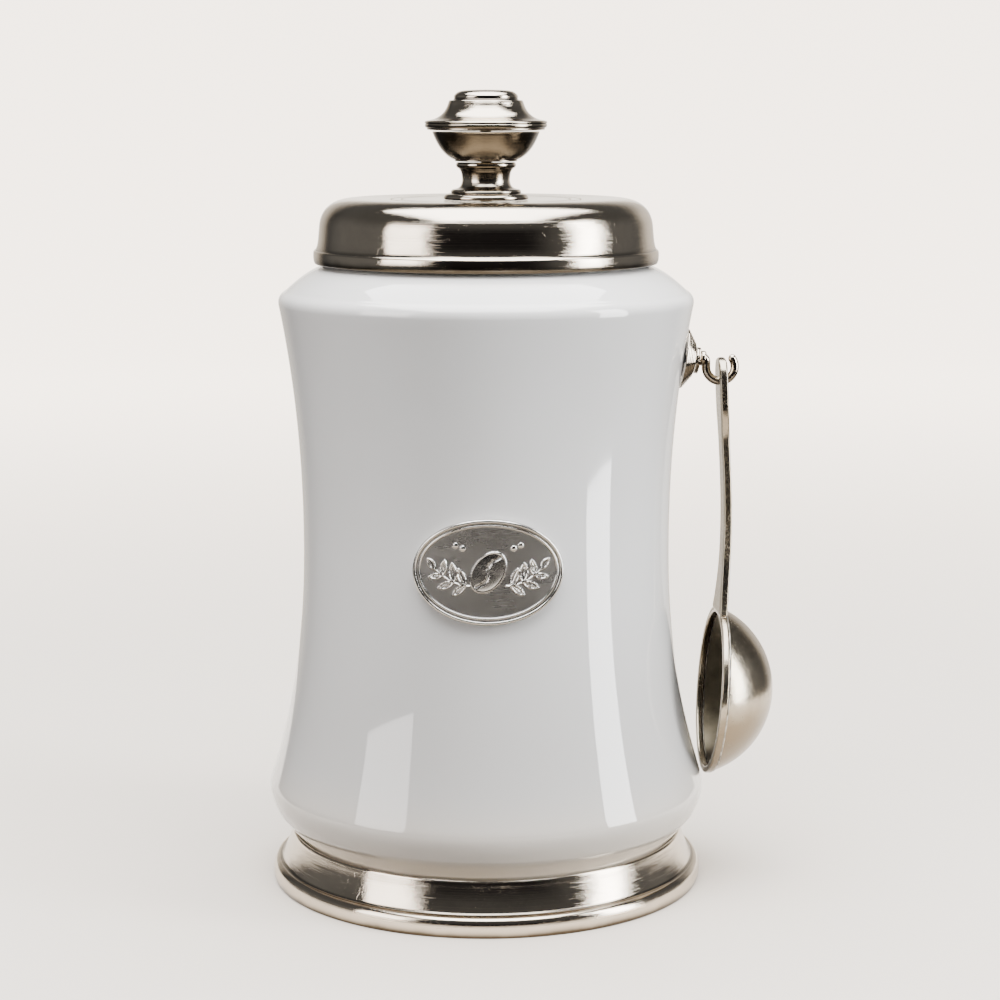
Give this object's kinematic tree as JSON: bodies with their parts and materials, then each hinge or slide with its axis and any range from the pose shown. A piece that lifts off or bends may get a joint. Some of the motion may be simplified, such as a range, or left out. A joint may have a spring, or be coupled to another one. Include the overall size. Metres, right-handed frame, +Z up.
{
  "type": "coffee canister",
  "caption": "Waisted glazed ceramic coffee jar with pewter lid, knob and foot ring, and a pewter scoop hanging on a side hook.",
  "frame": {"origin": "on the table under the jar's axis, at the centre of the felt base", "axes": "+Z up along the jar's axis, -Y out of the label plate, +X towards the hook and scoop"},
  "size_m": [0.1745, 0.1504, 0.27],
  "materials": {
    "white_glaze": "glossy white glaze",
    "polished_pewter": "turned and polished pewter",
    "worn_pewter": "cast pewter, worn satin with pits",
    "dark_pewter": "darkened pewter relief",
    "silicone": "clear grey silicone",
    "plug_plastic": "moulded ivory plastic",
    "adhesive": "cured adhesive",
    "felt": "dark green-black felt",
    "steel": "plain steel fastener"
  },
  "bodies": {
    "jar": {"jar_body": "white_glaze", "foot_ring": "polished_pewter", "foot_bond": "adhesive", "foot_felt": "felt", "label_plate": "dark_pewter", "label_pad": "adhesive", "hook_gasket": "silicone", "hook_rosette": "polished_pewter", "hook_boss": "polished_pewter", "hook_arm": "polished_pewter", "hook_stud": "steel", "hook_washer": "silicone", "hook_nut": "steel"},
    "lid": {"lid_shell": "polished_pewter", "lid_plug": "plug_plastic", "lid_seal": "silicone", "knob_pedestal": "polished_pewter", "knob_cup": "polished_pewter", "knob_cap": "polished_pewter", "knob_stud": "steel", "knob_washer": "steel", "knob_nut": "steel"},
    "scoop": {"scoop_handle": "worn_pewter", "scoop_bowl": "worn_pewter"}
  },
  "joints": [
    {"name": "lid_lift", "type": "slide", "parent": "jar", "child": "lid", "axis": [0, 0, 1], "range_m": [0, 0.12]},
    {"name": "scoop_swing", "type": "hinge", "parent": "jar", "child": "scoop", "pos_m": [0.08011, 0, 0.17201], "axis": [0, -1, 0], "range_deg": [0, 16]}
  ]
}
